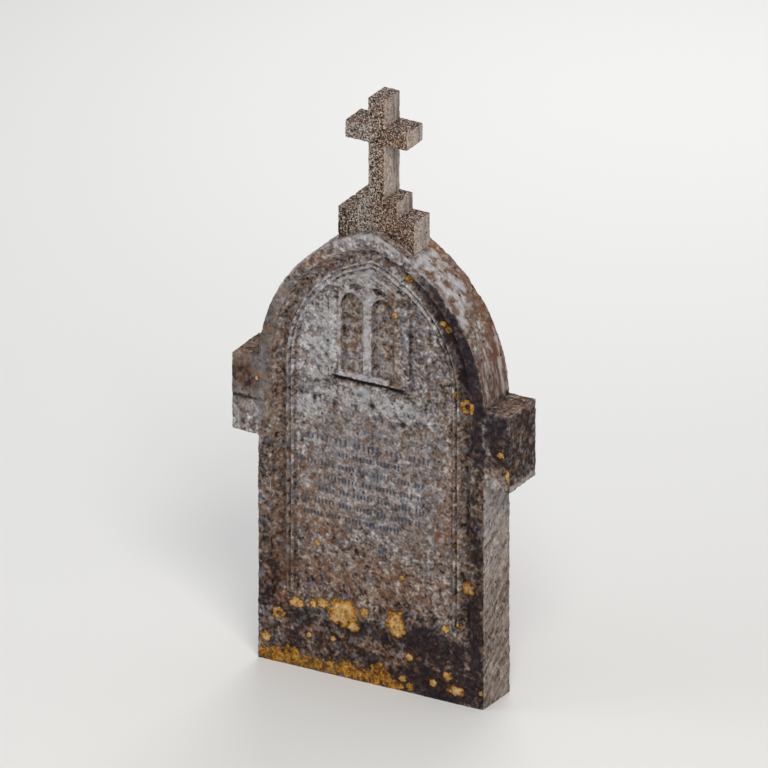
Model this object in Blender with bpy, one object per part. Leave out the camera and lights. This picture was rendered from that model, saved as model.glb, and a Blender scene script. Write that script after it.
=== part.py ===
"""A gothic headstone: one carved slab with shoulders, and a stepped cross bedded on its arch.

Metres, +Z up. The front face looks towards -Y, the ground line is Z = 0, and the origin is
the middle of the slab's underside. Run: blender --background --python part.py
"""

import math

import bmesh
import bpy
from mathutils import Matrix, Vector

# The slab's outline
SLAB_WIDTH = 0.686
SLAB_DEPTH = 0.141
SPRING_HEIGHT = 0.848  # where the arch leaves the straight sides
ARCH_RISE = 0.452  # from the springing line to the point of the arch
SHOULDER_PROJECTION = 0.079
SHOULDER_HEIGHT = 0.221
SHOULDER_TOP = 0.865
ARCH_SEGMENTS = 24  # facets in each half of the arch

# The moulded frame that is sunk into the front face, from the arris inwards
MARGIN_WIDTH = 0.040  # plain outer border
ARRIS_STEP = 0.004  # square drop at the border's inner edge
HOLLOW_WIDTH = 0.038  # wide scooped moulding
HOLLOW_SCOOP = 0.015  # how far it is scooped below its own chord
OUTER_BEAD_WIDTH = 0.010
QUIRK_WIDTH = 0.004  # narrow groove between the two beads
INNER_BEAD_WIDTH = 0.010
BEAD_RISE = 0.010  # how far the beads stand off the field
FIELD_DEPTH = 0.018  # the field's own depth behind the front face
FRAME_SPRING_LIFT = 0.024  # the frame's arch springs this much higher, so it is rounder
FRAME_SILL_HEIGHT = 0.176  # where the sloping sill meets the front face
FRAME_SILL_RISE = 0.046  # height gained by the slope as it runs back to the field
HOLLOW_SEGMENTS = 6
BEAD_SEGMENTS = 4

# The two-light window that is carved in the head of the field
WINDOW_MIDDLE = -0.012  # it stands a little to the left of the slab's own middle
WINDOW_HEAD_DROP = 0.131  # from the point of the slab's arch down to the window's own point
WINDOW_HEIGHT = 0.301  # from that point down to the underside of the window's sill
WINDOW_SILL_WIDTH = 0.218
WINDOW_SILL_THICKNESS = 0.014
WINDOW_SILL_SLOPE = 0.008  # weathering on the top of the sill
WINDOW_SILL_PROUD = 0.016  # from the field
TRACERY_WIDTH = 0.176
TRACERY_RISE = 0.044  # of its low pointed head
TRACERY_PROUD = 0.006
LABEL_WIDTH = 0.010  # hood mould round the tracery's head
LABEL_PROUD = 0.009
LABEL_RETURN = 0.034  # how far it runs out level at each side
LIGHT_WIDTH = 0.069
LIGHT_SPRING_DROP = 0.052  # below the springing of the tracery's head
LIGHT_RISE = 0.037
LIGHT_DEPTH = 0.019  # cut back from the tracery's face
MULLION_WIDTH = 0.024
EYE_LENGTH = 0.048  # almond-shaped piercings over the lights
EYE_WIDTH = 0.021
EYE_DEPTH = 0.011
EYE_LIFT = 0.004  # above the springing of the tracery's head
EYE_LEAN = math.radians(10)
PILASTER_WIDTH = 0.034
PILASTER_PROUD = 0.008
PILASTER_FOOT_DROP = 0.011  # the buttresses run on down past the sill
PILASTER_TOP_DROP = 0.026  # below the springing of the tracery's head
PILASTER_CAP_HEIGHT = 0.018
PILASTER_CAP_OVERHANG = 0.006
HEAD_SEGMENTS = 8  # facets in each half of a small arch
LOW_HEAD_ROUNDNESS = 0.5  # share of the curve, against the straight, in a low head

# The worn inscription: rows of single cuts that are not letters
INSCRIPTION_DROP = 0.200  # from the underside of the window's sill to the first row's centre line
ROW_PITCH = 0.0366
ROW_HALF_LENGTHS = (0.188, 0.100, 0.192, 0.150, 0.160, 0.184, 0.152)
ROW_SHIFTS = (-0.012, -0.005, -0.040, 0.0, -0.006, -0.036, -0.060)
FIRST_ROW_CUT = 0.020  # tall cuts of the first row
OTHER_ROW_CUT = 0.015
CUT_WIDTH = 0.0032
CUT_DEPTH = 0.0018
CUT_RUNOUT = 0.001  # how far the cutting wedge stands off the field
CUT_SPACING = 0.68  # from one cut to the next, as a share of a cut's height
SHORT_CUT = 0.72  # every third cut is this share of the full height
CUT_LEANS = (0.0, 0.30, 0.0, -0.34, 0.12, 0.0, -0.18)  # radians, in turn
CUTS_PER_GROUP = (5, 3, 6, 4)  # a space follows each group

# The cross and its steps, cut from one thinner stone
CROSS_DEPTH = 0.083
CROSS_SHAFT_WIDTH = 0.048
CROSS_ARM_SPAN = 0.189
CROSS_ARM_HEIGHT = 0.050
CROSS_ARM_LEVEL = 0.156  # underside of the arms over the upper step
CROSS_HEIGHT = 0.285  # over the upper step
LOWER_STEP_WIDTH = 0.232
UPPER_STEP_WIDTH = 0.128
LOWER_STEP_OVER_APEX = 0.045
UPPER_STEP_RISE = 0.048
SADDLE_SEGMENTS = 7  # facets in each half of the scribed underside

BED_GAP = 0.0003  # the cross stands this far off the slab
OVERLAP = 0.008  # how far a joined or cutting shape runs on past the face it meets

HALF_WIDTH = SLAB_WIDTH / 2
ARCH_RADIUS = (HALF_WIDTH**2 + ARCH_RISE**2) / (2 * HALF_WIDTH)
ARCH_CENTRE = ARCH_RADIUS - HALF_WIDTH  # each arc's centre lies this far past the middle
APEX_HEIGHT = SPRING_HEIGHT + ARCH_RISE
FRONT = -SLAB_DEPTH / 2
FIELD = FRONT + FIELD_DEPTH
TRACERY_SPRING = APEX_HEIGHT - WINDOW_HEAD_DROP - TRACERY_RISE
WINDOW_SILL_UNDERSIDE = APEX_HEIGHT - WINDOW_HEAD_DROP - WINDOW_HEIGHT


def clear_scene():
    for old in list(bpy.data.objects):
        bpy.data.objects.remove(old, do_unlink=True)


def stone_material(name, colour, roughness):
    material = bpy.data.materials.new(name)
    material.use_nodes = True
    shader = material.node_tree.nodes["Principled BSDF"]
    shader.inputs["Base Color"].default_value = (*colour, 1.0)
    shader.inputs["Roughness"].default_value = roughness
    shader.inputs["Metallic"].default_value = 0.0
    return material


def object_from(bm, name):
    """The bmesh as a linked object whose faces point outwards."""
    bmesh.ops.recalc_face_normals(bm, faces=bm.faces)
    mesh = bpy.data.meshes.new(name)
    bm.to_mesh(mesh)
    bm.free()
    obj = bpy.data.objects.new(name, mesh)
    bpy.context.scene.collection.objects.link(obj)
    return obj


def extrude_outline(bm, outline, y_front, y_back):
    """Adds a prism to bm: the (x, z) outline, drawn once, run from y_front back to y_back."""
    face = bm.faces.new([bm.verts.new((x, y_front, z)) for x, z in outline])
    grown = bmesh.ops.extrude_face_region(bm, geom=[face])["geom"]
    moved = [part for part in grown if isinstance(part, bmesh.types.BMVert)]
    bmesh.ops.translate(bm, verts=moved, vec=(0, y_back - y_front, 0))


def prism(name, outline, y_front, y_back):
    bm = bmesh.new()
    extrude_outline(bm, outline, y_front, y_back)
    return object_from(bm, name)


def mirrored(right_half):
    """A closed outline from its right half, which runs up from the bottom to the middle."""
    left_half = [(-x, z) for x, z in reversed(right_half) if x > 1e-6]
    return right_half + left_half


def arch_height(x, growth=0.0):
    """Height of the slab's arch, grown outwards by growth, at a distance x from the middle."""
    return SPRING_HEIGHT + math.sqrt((ARCH_RADIUS + growth) ** 2 - (abs(x) + ARCH_CENTRE) ** 2)


def arch_points(half_width, spring, rise, inset=0.0, lowest=0.0):
    """The right half of a two-centred arch, moved in by inset, from the height lowest to its point."""
    centre = (rise**2 - half_width**2) / (2 * half_width)
    radius = half_width + centre - inset
    first = math.asin(max(0.0, lowest - spring) / radius)
    last = math.acos(centre / radius)
    points = []
    for step in range(ARCH_SEGMENTS + 1):
        angle = first + (last - first) * step / ARCH_SEGMENTS
        points.append((radius * math.cos(angle) - centre, spring + radius * math.sin(angle)))
    points[-1] = (0.0, points[-1][1])
    return points


def small_arch(half_width, spring, rise, middle):
    """A small head as (x, z) points from its right springing to its left: pointed, or low and blunt."""
    right = []
    for step in range(HEAD_SEGMENTS + 1):
        share = step / HEAD_SEGMENTS
        if rise > half_width:
            radius = (half_width**2 + rise**2) / (2 * half_width)
            turn = math.asin(rise / radius) * share
            right.append((half_width - radius + radius * math.cos(turn), radius * math.sin(turn)))
        else:
            curve = math.sqrt(1 - (1 - share) ** 2)
            lift = curve * LOW_HEAD_ROUNDNESS + share * (1 - LOW_HEAD_ROUNDNESS)
            right.append((half_width * (1 - share), rise * lift))
    left = [(-x, z) for x, z in reversed(right[:-1])]
    return [(middle + x, spring + z) for x, z in right + left]


def slab_outline():
    """The slab's front outline, with its two shoulders."""
    shoulder_bottom = SHOULDER_TOP - SHOULDER_HEIGHT
    shoulder_side = HALF_WIDTH + SHOULDER_PROJECTION
    right = [(HALF_WIDTH, 0.0), (HALF_WIDTH, shoulder_bottom)]
    right += [(shoulder_side, shoulder_bottom), (shoulder_side, SHOULDER_TOP)]
    if SHOULDER_TOP < SPRING_HEIGHT:
        right.append((HALF_WIDTH, SHOULDER_TOP))
    right += arch_points(HALF_WIDTH, SPRING_HEIGHT, ARCH_RISE, lowest=SHOULDER_TOP)
    return mirrored(right)


def frame_profile():
    """The frame's section as (inset, depth) pairs: its outer edge, scooped hollow, two beads, field."""
    profile = [(0.0, -OVERLAP), (0.0, ARRIS_STEP)]
    for step in range(1, HOLLOW_SEGMENTS + 1):
        share = step / HOLLOW_SEGMENTS
        chord = ARRIS_STEP + (FIELD_DEPTH - ARRIS_STEP) * share
        profile.append((HOLLOW_WIDTH * share, chord + HOLLOW_SCOOP * math.sin(math.pi * share)))
    inner_bead = HOLLOW_WIDTH + OUTER_BEAD_WIDTH + QUIRK_WIDTH
    for start, width in ((HOLLOW_WIDTH, OUTER_BEAD_WIDTH), (inner_bead, INNER_BEAD_WIDTH)):
        if start == inner_bead:
            profile.append((start, FIELD_DEPTH))
        for step in range(1, BEAD_SEGMENTS + 1):
            turn = math.pi * step / BEAD_SEGMENTS
            inset = start + width * (1 - math.cos(turn)) / 2
            profile.append((inset, FIELD_DEPTH - BEAD_RISE * math.sin(turn)))
    return profile


def make_frame_cutter():
    """The space that the frame and its field take out of the front face, cut off by the sloping sill."""
    bm = bmesh.new()
    below_sill = FRAME_SILL_HEIGHT - SLAB_DEPTH
    half = HALF_WIDTH - MARGIN_WIDTH
    spring = SPRING_HEIGHT + FRAME_SPRING_LIFT
    rise = APEX_HEIGHT - MARGIN_WIDTH - spring
    rings = []
    for inset, depth in frame_profile():
        right = [(half - inset, below_sill)] + arch_points(half, spring, rise, inset)
        rings.append([bm.verts.new((x, FRONT + depth, z)) for x, z in mirrored(right)])
    for outer, inner in zip(rings, rings[1:]):
        for index in range(len(outer) - 1):
            bm.faces.new((outer[index], outer[index + 1], inner[index + 1], inner[index]))
    bm.faces.new(rings[0])
    bm.faces.new(rings[-1])
    slope = Vector((0, FIELD_DEPTH, FRAME_SILL_RISE)).normalized()
    bmesh.ops.bisect_plane(
        bm,
        geom=bm.verts[:] + bm.edges[:] + bm.faces[:],
        plane_co=(0, FRONT, FRAME_SILL_HEIGHT),
        plane_no=(0, -slope.z, slope.y),
        clear_inner=True,
    )
    open_edges = [edge for edge in bm.edges if edge.is_boundary]
    bmesh.ops.contextual_create(bm, geom=open_edges)
    return object_from(bm, "frame_cutter")


def make_tracery():
    """The flat face that the lights and eyes are cut in, and its low pointed head."""
    half = TRACERY_WIDTH / 2
    foot = WINDOW_SILL_UNDERSIDE + WINDOW_SILL_THICKNESS / 2
    outline = [(WINDOW_MIDDLE - half, foot), (WINDOW_MIDDLE + half, foot)]
    outline += small_arch(half, TRACERY_SPRING, TRACERY_RISE, WINDOW_MIDDLE)
    return prism("tracery", outline, FIELD - TRACERY_PROUD, FIELD + OVERLAP)


def make_label():
    """The hood mould: a narrow band along the outside of the tracery's head, with level returns."""
    half = TRACERY_WIDTH / 2
    outer = small_arch(half + LABEL_WIDTH, TRACERY_SPRING, TRACERY_RISE + LABEL_WIDTH, WINDOW_MIDDLE)
    inner = small_arch(half, TRACERY_SPRING, TRACERY_RISE, WINDOW_MIDDLE)
    foot = TRACERY_SPRING - LABEL_WIDTH / 2
    top = foot + LABEL_WIDTH
    reach = half + LABEL_WIDTH + LABEL_RETURN
    right = WINDOW_MIDDLE + reach
    left = WINDOW_MIDDLE - reach
    outline = [(inner[0][0], foot), (right, foot), (right, top)]
    outline += [point for point in outer if point[1] > top]
    outline += [(left, top), (left, foot), (inner[-1][0], foot)]
    return prism("label", outline + inner[::-1], FIELD - LABEL_PROUD, FIELD + OVERLAP * 0.9)


def make_pilaster(name, side):
    """A flat buttress beside the tracery, with a thin cap. side is -1 for left and 1 for right."""
    inner = TRACERY_WIDTH / 2 - LABEL_WIDTH / 4
    outer = TRACERY_WIDTH / 2 + PILASTER_WIDTH
    foot = WINDOW_SILL_UNDERSIDE - PILASTER_FOOT_DROP
    top = TRACERY_SPRING - PILASTER_TOP_DROP
    cap_foot = top - PILASTER_CAP_HEIGHT
    outline = [
        (inner, foot),
        (outer, foot),
        (outer, cap_foot),
        (outer + PILASTER_CAP_OVERHANG, cap_foot + PILASTER_CAP_OVERHANG),
        (outer + PILASTER_CAP_OVERHANG, top),
        (inner, top),
    ]
    outline = [(WINDOW_MIDDLE + side * x, z) for x, z in outline]
    return prism(name, outline, FIELD - PILASTER_PROUD, FIELD + OVERLAP * 0.8)


def make_window_sill():
    """The ledge under the window, with a weathered top and a square underside that throws a shadow."""
    bm = bmesh.new()
    top = WINDOW_SILL_UNDERSIDE + WINDOW_SILL_THICKNESS
    section = [
        (FIELD + OVERLAP * 0.7, WINDOW_SILL_UNDERSIDE),
        (FIELD - WINDOW_SILL_PROUD, WINDOW_SILL_UNDERSIDE),
        (FIELD - WINDOW_SILL_PROUD, top - WINDOW_SILL_SLOPE),
        (FIELD, top),
        (FIELD + OVERLAP * 0.7, top),
    ]
    left_end = WINDOW_MIDDLE - WINDOW_SILL_WIDTH / 2
    face = bm.faces.new([bm.verts.new((left_end, y, z)) for y, z in section])
    grown = bmesh.ops.extrude_face_region(bm, geom=[face])["geom"]
    moved = [part for part in grown if isinstance(part, bmesh.types.BMVert)]
    bmesh.ops.translate(bm, verts=moved, vec=(WINDOW_SILL_WIDTH, 0, 0))
    return object_from(bm, "window_sill")


def eye_outline(side):
    """One almond: two arcs that meet at sharp ends, leaning down and away from the mullion."""
    middle_x = MULLION_WIDTH / 2 + EYE_LENGTH / 2
    height = TRACERY_SPRING + EYE_LIFT
    points = []
    for half in (1, -1):
        for step in range(HEAD_SEGMENTS):
            share = step / HEAD_SEGMENTS
            along = half * EYE_LENGTH * (0.5 - share)
            across = half * EYE_WIDTH / 2 * math.sin(math.pi * share)
            x = along * math.cos(EYE_LEAN) + across * math.sin(EYE_LEAN)
            z = across * math.cos(EYE_LEAN) - along * math.sin(EYE_LEAN)
            points.append((WINDOW_MIDDLE + side * (middle_x + x), height + z))
    return points


def make_piercings():
    """What is cut from the tracery: two lights with pointed heads, and the two eyes above them."""
    bm = bmesh.new()
    face = FIELD - TRACERY_PROUD
    light_foot = WINDOW_SILL_UNDERSIDE + WINDOW_SILL_THICKNESS - WINDOW_SILL_SLOPE / 2
    half = LIGHT_WIDTH / 2
    for side in (-1, 1):
        middle = WINDOW_MIDDLE + side * (MULLION_WIDTH / 2 + half)
        light = [(middle - half, light_foot), (middle + half, light_foot)]
        light += small_arch(half, TRACERY_SPRING - LIGHT_SPRING_DROP, LIGHT_RISE, middle)
        extrude_outline(bm, light, face - OVERLAP, face + LIGHT_DEPTH)
        extrude_outline(bm, eye_outline(side), face - OVERLAP, face + EYE_DEPTH)
    return object_from(bm, "piercings")


def add_cut(bm, x, z, length, lean):
    """One V-shaped chisel cut in the field, length tall, centred on (x, z) and leaning."""
    half = length / 2
    mouth = CUT_WIDTH / 2 * (1 + CUT_RUNOUT / CUT_DEPTH)
    section = [(-mouth, -CUT_RUNOUT), (mouth, -CUT_RUNOUT), (0.0, CUT_DEPTH)]
    rings = []
    for end in (-half, half):
        rings.append([bm.verts.new((across, FIELD + depth, end)) for across, depth in section])
    lower, upper = rings
    bm.faces.new(lower)
    bm.faces.new(upper)
    for index in range(3):
        following = (index + 1) % 3
        bm.faces.new((lower[index], lower[following], upper[following], upper[index]))
    turn = Matrix.Rotation(lean, 4, "Y")
    bmesh.ops.transform(bm, matrix=Matrix.Translation((x, 0, z)) @ turn, verts=lower + upper)


def make_inscription():
    """Rows of separate cuts, in groups, where the worn inscription stands."""
    bm = bmesh.new()
    first_row = WINDOW_SILL_UNDERSIDE - INSCRIPTION_DROP
    count = 0
    for row, half_length in enumerate(ROW_HALF_LENGTHS):
        tall = FIRST_ROW_CUT if row == 0 else OTHER_ROW_CUT
        x = ROW_SHIFTS[row] - half_length
        group = row
        left_in_group = CUTS_PER_GROUP[group % len(CUTS_PER_GROUP)]
        while x <= ROW_SHIFTS[row] + half_length:
            lean = CUT_LEANS[count % len(CUT_LEANS)]
            length = tall if count % 3 else tall * SHORT_CUT
            add_cut(bm, x, first_row - row * ROW_PITCH, length, lean)
            count += 1
            left_in_group -= 1
            x += tall * CUT_SPACING
            if left_in_group == 0:
                group += 1
                left_in_group = CUTS_PER_GROUP[group % len(CUTS_PER_GROUP)]
                x += tall * CUT_SPACING
    return object_from(bm, "inscription_cuts")


def boolean(target, other, operation):
    """Joins or cuts target with other, which stays in the file as a hidden guide."""
    modifier = target.modifiers.new(f"{operation.lower()} {other.name}", "BOOLEAN")
    modifier.operation = operation
    modifier.solver = "EXACT"
    modifier.object = other
    other.hide_render = True
    other.display_type = "WIRE"


def make_slab():
    """The carved slab: outline, sunk frame, window and inscription, all cut from one stone."""
    slab = prism("slab", slab_outline(), FRONT, -FRONT)
    boolean(slab, make_frame_cutter(), "DIFFERENCE")
    boolean(slab, make_inscription(), "DIFFERENCE")
    boolean(slab, make_tracery(), "UNION")
    boolean(slab, make_label(), "UNION")
    boolean(slab, make_pilaster("pilaster_left", -1), "UNION")
    boolean(slab, make_pilaster("pilaster_right", 1), "UNION")
    boolean(slab, make_piercings(), "DIFFERENCE")
    boolean(slab, make_window_sill(), "UNION")
    slab.data.materials.append(stone_material("slab_stone", (0.246, 0.205, 0.178), 0.92))
    return slab


def cross_outline():
    """The cross, its two steps, and the underside scribed to the arch it sits on."""
    lower_half = LOWER_STEP_WIDTH / 2
    upper_half = UPPER_STEP_WIDTH / 2
    shaft_half = CROSS_SHAFT_WIDTH / 2
    arm_half = CROSS_ARM_SPAN / 2
    lower_top = APEX_HEIGHT + LOWER_STEP_OVER_APEX
    upper_top = lower_top + UPPER_STEP_RISE
    arm_foot = upper_top + CROSS_ARM_LEVEL
    arm_top = arm_foot + CROSS_ARM_HEIGHT
    saddle = []
    for step in range(SADDLE_SEGMENTS + 1):
        x = lower_half * step / SADDLE_SEGMENTS
        saddle.append((x, arch_height(x, BED_GAP)))
    right = saddle + [
        (lower_half, lower_top),
        (upper_half, lower_top),
        (upper_half, upper_top),
        (shaft_half, upper_top),
        (shaft_half, arm_foot),
        (arm_half, arm_foot),
        (arm_half, arm_top),
        (shaft_half, arm_top),
        (shaft_half, upper_top + CROSS_HEIGHT),
    ]
    return mirrored(right)


def make_cross():
    cross = prism("cross", cross_outline(), -CROSS_DEPTH / 2, CROSS_DEPTH / 2)
    cross.data.materials.append(stone_material("cross_stone", (0.235, 0.190, 0.160), 0.95))
    return cross


def main():
    clear_scene()
    make_slab()
    make_cross()


main()
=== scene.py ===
# %% [markdown]
# # A weathered gothic headstone
#
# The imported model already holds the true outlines: a carved slab and the cross bedded on its
# arch. Two centuries of rain have worked on the real stones since they were cut. Their arrises
# are rounded and chipped, their faces are pitted, and crusts of lichen cover most of them. Each
# piece here starts from the solid that it stands for, is rebuilt on a fine grid and is worn down
# with modifiers. Procedural materials then lay on the crusts, the dirt and the orange lichens.

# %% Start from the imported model
import math

import bpy
import numpy as np
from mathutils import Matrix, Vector


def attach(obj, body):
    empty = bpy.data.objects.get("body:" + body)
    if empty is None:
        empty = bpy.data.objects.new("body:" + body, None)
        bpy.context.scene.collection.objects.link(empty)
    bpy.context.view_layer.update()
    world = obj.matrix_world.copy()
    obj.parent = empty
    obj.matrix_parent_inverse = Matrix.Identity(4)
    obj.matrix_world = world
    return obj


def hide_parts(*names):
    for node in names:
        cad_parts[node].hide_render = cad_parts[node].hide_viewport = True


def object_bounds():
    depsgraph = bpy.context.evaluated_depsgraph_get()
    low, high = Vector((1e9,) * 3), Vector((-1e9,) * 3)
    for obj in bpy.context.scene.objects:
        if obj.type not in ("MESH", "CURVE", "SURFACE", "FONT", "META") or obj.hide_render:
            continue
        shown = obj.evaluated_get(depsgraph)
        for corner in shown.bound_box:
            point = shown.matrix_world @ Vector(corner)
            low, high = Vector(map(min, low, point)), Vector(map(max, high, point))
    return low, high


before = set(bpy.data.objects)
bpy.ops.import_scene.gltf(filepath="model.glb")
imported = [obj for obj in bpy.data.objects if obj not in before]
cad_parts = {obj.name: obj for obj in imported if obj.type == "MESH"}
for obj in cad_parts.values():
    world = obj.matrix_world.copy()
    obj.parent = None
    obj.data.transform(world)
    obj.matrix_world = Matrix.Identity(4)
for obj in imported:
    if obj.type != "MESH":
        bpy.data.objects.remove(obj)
cad_low, cad_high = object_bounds()
print("model box:", [round(v, 3) for v in cad_low], "to", [round(v, 3) for v in cad_high])

# %% [markdown]
# The photo has no perspective: upright lines stay parallel and the far edge of the slab is as
# long as the near one. So the camera is orthographic. It stands 30 degrees to the right of the
# carved face and looks down by 24 degrees, and its scale is set by the width of the slab.

# %% Camera
CAMERA_AZIMUTH = math.radians(30.1)
CAMERA_ELEVATION = math.radians(24.3)
CAMERA_DISTANCE = 8.0
VIEW_WIDTH = 2.024  # metres across the square frame

camera_data = bpy.data.cameras.new("camera")
camera_data.type = "ORTHO"
camera_data.ortho_scale = VIEW_WIDTH
camera = bpy.data.objects.new("camera", camera_data)
bpy.context.scene.collection.objects.link(camera)
towards_camera = Vector(
    (
        math.sin(CAMERA_AZIMUTH) * math.cos(CAMERA_ELEVATION),
        -math.cos(CAMERA_AZIMUTH) * math.cos(CAMERA_ELEVATION),
        math.sin(CAMERA_ELEVATION),
    )
)
middle = (cad_low + cad_high) / 2
camera.location = middle + towards_camera * CAMERA_DISTANCE
camera.rotation_euler = towards_camera.to_track_quat("Z", "Y").to_euler()
bpy.context.scene.camera = camera
print("camera at", [round(v, 2) for v in camera.location])

# %% [markdown]
# The photo's light is soft and nearly even. A pale sky gives most of it here. One broad lamp from
# the upper right and front draws the relief out of the carving, a weak one from the left keeps the
# shadows open, and one behind the stone lights its plain back for the other views.

# %% Floor and light
KEY_POWER = 150.0
FILL_POWER = 40.0
BACK_POWER = 110.0
SKY_STRENGTH = 0.46


def srgb(red, green, blue):
    """A colour given as 0 to 255 in sRGB, as the linear values that shaders use."""
    return tuple((v / 12.92 if v <= 0.04045 else ((v + 0.055) / 1.055) ** 2.4) for v in (red / 255, green / 255, blue / 255))


def area_lamp(name, place, size, power, colour):
    data = bpy.data.lights.new(name, "AREA")
    data.size = size
    data.energy = power
    data.color = colour
    lamp = bpy.data.objects.new(name, data)
    bpy.context.scene.collection.objects.link(lamp)
    lamp.location = place
    lamp.rotation_euler = (Vector(place) - middle).to_track_quat("Z", "Y").to_euler()
    return lamp


area_lamp("key", (2.4, -3.0, 4.8), 1.8, KEY_POWER, (1.0, 0.98, 0.95))
area_lamp("fill", (-4.0, -2.5, 2.0), 3.0, FILL_POWER, (0.95, 0.97, 1.0))
area_lamp("back light", (-1.5, 4.5, 3.5), 3.0, BACK_POWER, (0.97, 0.98, 1.0))

world = bpy.data.worlds.new("pale sky")
world.use_nodes = True
world.node_tree.nodes["Background"].inputs["Color"].default_value = (0.93, 0.96, 1.0, 1.0)
world.node_tree.nodes["Background"].inputs["Strength"].default_value = SKY_STRENGTH
bpy.context.scene.world = world
bpy.context.scene.view_settings.view_transform = "Standard"

bpy.ops.object.select_all(action="DESELECT")
bpy.ops.mesh.primitive_plane_add(size=30.0, location=(0.0, 0.0, 0.0))
floor = bpy.context.object
floor.name = "floor"
floor_finish = bpy.data.materials.new("floor")
floor_finish.use_nodes = True
floor_finish.node_tree.nodes["Principled BSDF"].inputs["Base Color"].default_value = (*srgb(236, 234, 230), 1.0)
floor_finish.node_tree.nodes["Principled BSDF"].inputs["Roughness"].default_value = 0.9
floor.data.materials.append(floor_finish)
print("floor and lamps are set")

# %% [markdown]
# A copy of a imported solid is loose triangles, so its doubles are merged first. A voxel remesh then
# gives it an even grid of small faces, which every later step can push about. The grid also takes
# the knife edges off, as weather does.


# %% Copies on an even grid
def on_even_grid(node, name, voxel):
    """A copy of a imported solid, merged and remeshed with faces of about the voxel's size."""
    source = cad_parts[node]
    bpy.ops.object.select_all(action="DESELECT")
    piece = bpy.data.objects.new(name, source.data.copy())
    bpy.context.scene.collection.objects.link(piece)
    piece.data.transform(source.matrix_world)
    piece.data.materials.clear()
    bpy.context.view_layer.objects.active = piece
    piece.select_set(True)
    bpy.ops.object.mode_set(mode="EDIT")
    bpy.ops.mesh.select_all(action="SELECT")
    bpy.ops.mesh.remove_doubles(threshold=0.00001)
    bpy.ops.object.mode_set(mode="OBJECT")
    grid = piece.modifiers.new("even grid", "REMESH")
    grid.mode = "VOXEL"
    grid.voxel_size = voxel
    grid.use_smooth_shade = True
    bpy.ops.object.modifier_apply(modifier=grid.name)
    print(name, "has", len(piece.data.polygons), "faces on its grid")
    return piece


SLAB_VOXEL = 0.002
CROSS_VOXEL = 0.0018
slab = on_even_grid("slab", "weathered_slab", SLAB_VOXEL)
cross = on_even_grid("cross", "weathered_cross", CROSS_VOXEL)

# %% [markdown]
# Weather bites hardest where stone stands out. To find those places, each point is set against
# the average of its neighbours, taken again and again. A point that stands proud of that average
# lies on an arris, and one that lies below it is in a hollow.


# %% Measuring arrises and hollows
def ramp(values, low, high):
    """0 below low, 1 above high and a smooth rise between them. It falls where high is below low."""
    share = np.clip((values - low) / (high - low), 0, 1)
    return share * share * (3 - 2 * share)


def points_of(piece):
    points = np.empty(len(piece.data.vertices) * 3)
    piece.data.vertices.foreach_get("co", points)
    return points.reshape(-1, 3)


def normals_of(piece):
    normals = np.empty(len(piece.data.vertices) * 3)
    piece.data.vertex_normals.foreach_get("vector", normals)
    return normals.reshape(-1, 3)


def averaged(piece, values, rounds):
    """The values, one row for each point, each averaged with its neighbours' a number of times."""
    edges = np.empty(len(piece.data.edges) * 2, dtype=np.int64)
    piece.data.edges.foreach_get("vertices", edges)
    first, second = edges.reshape(-1, 2).T
    count = np.bincount(first, minlength=len(values)) + np.bincount(second, minlength=len(values))
    smooth = values.copy()
    for _ in range(rounds):
        total = smooth.copy()
        for axis in range(values.shape[1]):
            total[:, axis] += np.bincount(first, weights=smooth[second, axis], minlength=len(values))
            total[:, axis] += np.bincount(second, weights=smooth[first, axis], minlength=len(values))
        smooth = total / (count + 1)[:, None]
    return smooth


def proudness(piece, rounds):
    """How far each point stands proud of its surroundings, in metres. It is negative in a hollow."""
    points = points_of(piece)
    return np.einsum("ij,ij->i", points - averaged(piece, points, rounds), normals_of(piece))


def store_group(piece, name, weights):
    """Keeps weights from 0 to 1 as a vertex group, for a modifier to follow."""
    group = piece.vertex_groups.new(name=name)
    steps = np.round(np.clip(weights, 0, 1) * 20).astype(int)
    for step in range(1, 21):
        group.add(np.flatnonzero(steps == step).tolist(), step / 20, "REPLACE")
    return group


# %% [markdown]
# The photo shows the carved window a few millimetres further left over its sill than the packed
# solid has it. The field around it is flat, so its points slide along the field and fade out there.

# %% Sliding the window over its sill
WINDOW_SHIFT = -0.006
WINDOW_MIDDLE = -0.012 + WINDOW_SHIFT
places = points_of(slab)
beside = ramp(np.abs(places[:, 0] + 0.012), 0.118, 0.102)
above_sill = ramp(places[:, 2], 0.876, 0.884) * ramp(places[:, 2], 1.185, 1.165)
places[:, 0] += WINDOW_SHIFT * beside * above_sill * (places[:, 1] < cad_low.y + 0.036)
slab.data.vertices.foreach_set("co", places.ravel())
slab.data.update()
print("the window's middle is now at", round(WINDOW_MIDDLE, 3))

# %% [markdown]
# The crusts, the dirt, the lichens and the painted shadows each keep to their own places. Each place is written down
# once, as a point of the front face with a half width and a half height. The weights fade from
# the middle outwards, and the material breaks their edges up. The same weights also raise the
# crusts a little, since they are thick enough to feel with a finger.


# %% Where each growth and each painted shadow keeps to
def patches(points, places):
    """The strongest of several soft patches at each point: x, z, half width, half height, weight."""
    strongest = np.zeros(len(points))
    for x, z, half_width, half_height, weight in places:
        away = ((points[:, 0] - x) / half_width) ** 2 + ((points[:, 2] - z) / half_height) ** 2
        strongest = np.maximum(strongest, weight * np.exp(-(away**1.5)))
    return strongest


def near(values, middle, half_width):
    return np.exp(-(((values - middle) / half_width) ** 2))


FRONT = cad_low.y
FRAME_HALF_WIDTH = 0.303  # outer edge of the sunk frame
FRAME_SPRING = 0.872
FRAME_RISE = 0.388
FIELD_LEVEL = FRONT + 0.018  # the sunk field's own plane
SLAB_HALF_WIDTH = 0.343
SLAB_SPRING = 0.848
SLAB_RISE = 0.452
SHOULDER_REACH = 0.422
SHOULDER_LOW = 0.644
SHOULDER_HIGH = 0.865


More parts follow.
